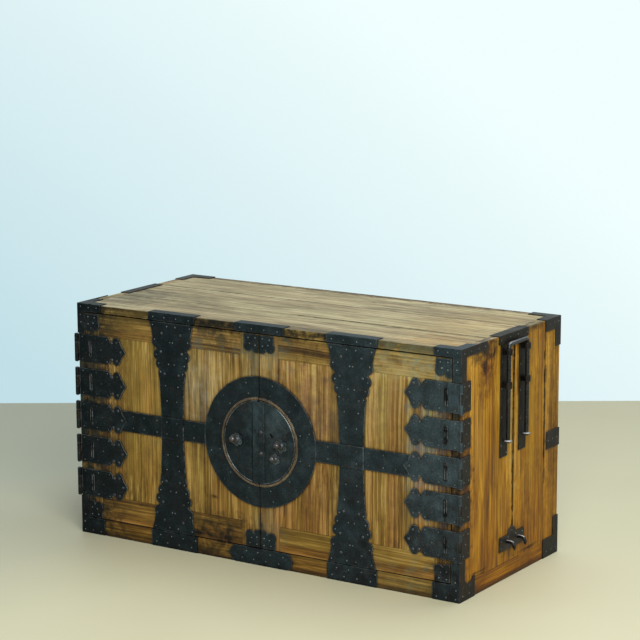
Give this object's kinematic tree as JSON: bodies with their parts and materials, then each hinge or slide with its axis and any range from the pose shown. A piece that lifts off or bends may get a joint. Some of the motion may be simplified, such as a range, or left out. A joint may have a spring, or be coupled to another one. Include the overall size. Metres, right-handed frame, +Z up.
{
  "type": "merchant chest",
  "caption": "Low ironbound merchant chest with hinged double doors, a round lock plate with a turning latch, sliding carrying bails and stacking hooks.",
  "frame": {"origin": "centre of the underside, on the bearer's lower face, level with the posts' feet", "axes": "+Z up, +X to the right of someone facing the doors, +Y to the back; the doors face -Y"},
  "size_m": [1.099, 0.4966, 0.566],
  "materials": {
    "front_wood": "worn golden brown striped wood, satin",
    "side_wood": "worn orange brown wood, satin",
    "top_wood": "faded grey tan wood, dry",
    "inner_wood": "unfinished brown wood",
    "black_iron": "blackened forged sheet iron, worn",
    "worn_iron": "forged iron rubbed brighter by hands",
    "lock_iron": "plain dark iron"
  },
  "bodies": {
    "carcass": {"top_boards": "top_wood", "bottom_boards": "inner_wood", "base_bearer": "inner_wood", "front_rail": "front_wood", "back_boards": "inner_wood", "left_side_boards": "side_wood", "right_side_boards": "side_wood", "front_posts": "front_wood", "rear_posts": "side_wood", "side_rails": "side_wood", "shelf": "inner_wood", "shelf_cleats": "inner_wood", "door_stops": "inner_wood", "left_hinge_side_leaves": "black_iron", "right_hinge_side_leaves": "black_iron", "hinge_pins": "worn_iron", "front_corner_irons": "black_iron", "rear_corner_irons": "black_iron", "rear_mid_irons": "black_iron", "top_edge_irons": "black_iron", "foot_rail_irons": "black_iron", "left_handle_plate": "black_iron", "right_handle_plate": "black_iron", "left_handle_guides": "black_iron", "right_handle_guides": "black_iron", "left_hook_plate": "black_iron", "right_hook_plate": "black_iron", "left_hooks": "worn_iron", "right_hooks": "worn_iron"},
    "left_door": {"left_hinge_stile": "front_wood", "left_meeting_stile": "front_wood", "left_door_rails": "front_wood", "left_door_panel": "front_wood", "left_hinge_leaves": "black_iron", "left_tapered_band": "black_iron", "left_cross_band": "black_iron", "left_ring_plate": "black_iron", "left_lock_plate": "black_iron", "left_cover_strip": "black_iron", "left_door_corner_irons": "black_iron", "left_pull": "worn_iron", "bolt_keeper": "lock_iron"},
    "right_door": {"right_hinge_stile": "front_wood", "right_meeting_stile": "front_wood", "right_door_rails": "front_wood", "right_door_panel": "front_wood", "right_hinge_leaves": "black_iron", "right_tapered_band": "black_iron", "right_cross_band": "black_iron", "right_ring_plate": "black_iron", "right_lock_plate": "black_iron", "right_cover_strip": "black_iron", "right_door_corner_irons": "black_iron", "right_pull": "worn_iron", "lock_case": "lock_iron"},
    "left_bail": {"left_bail": "worn_iron"},
    "right_bail": {"right_bail": "worn_iron"},
    "lock_bolt": {"lock_bolt": "lock_iron"},
    "latch_knob": {"latch_knob": "worn_iron"}
  },
  "joints": [
    {"name": "left_door_hinge", "type": "hinge", "parent": "carcass", "child": "left_door", "pos_m": [-0.527, -0.2355, 0.293], "axis": [0, 0, -1], "range_deg": [0, 240]},
    {"name": "right_door_hinge", "type": "hinge", "parent": "carcass", "child": "right_door", "pos_m": [0.527, -0.2355, 0.293], "axis": [0, 0, 1], "range_deg": [0, 240]},
    {"name": "left_bail_slide", "type": "slide", "parent": "carcass", "child": "left_bail", "axis": [0, 0, 1], "range_m": [0, 0.116]},
    {"name": "right_bail_slide", "type": "slide", "parent": "carcass", "child": "right_bail", "axis": [0, 0, 1], "range_m": [0, 0.116]},
    {"name": "latch_turn", "type": "hinge", "parent": "right_door", "child": "latch_knob", "pos_m": [0.045, -0.21, 0.26], "axis": [0, -1, 0], "range_deg": [0, 60]},
    {"name": "bolt_slide", "type": "slide", "parent": "right_door", "child": "lock_bolt", "axis": [-1, 0, 0], "range_m": [0, 0.0141]}
  ],
  "couplings": [
    {"joint": "bolt_slide", "follows": "latch_turn", "m_per_rad": 0.013369}
  ]
}
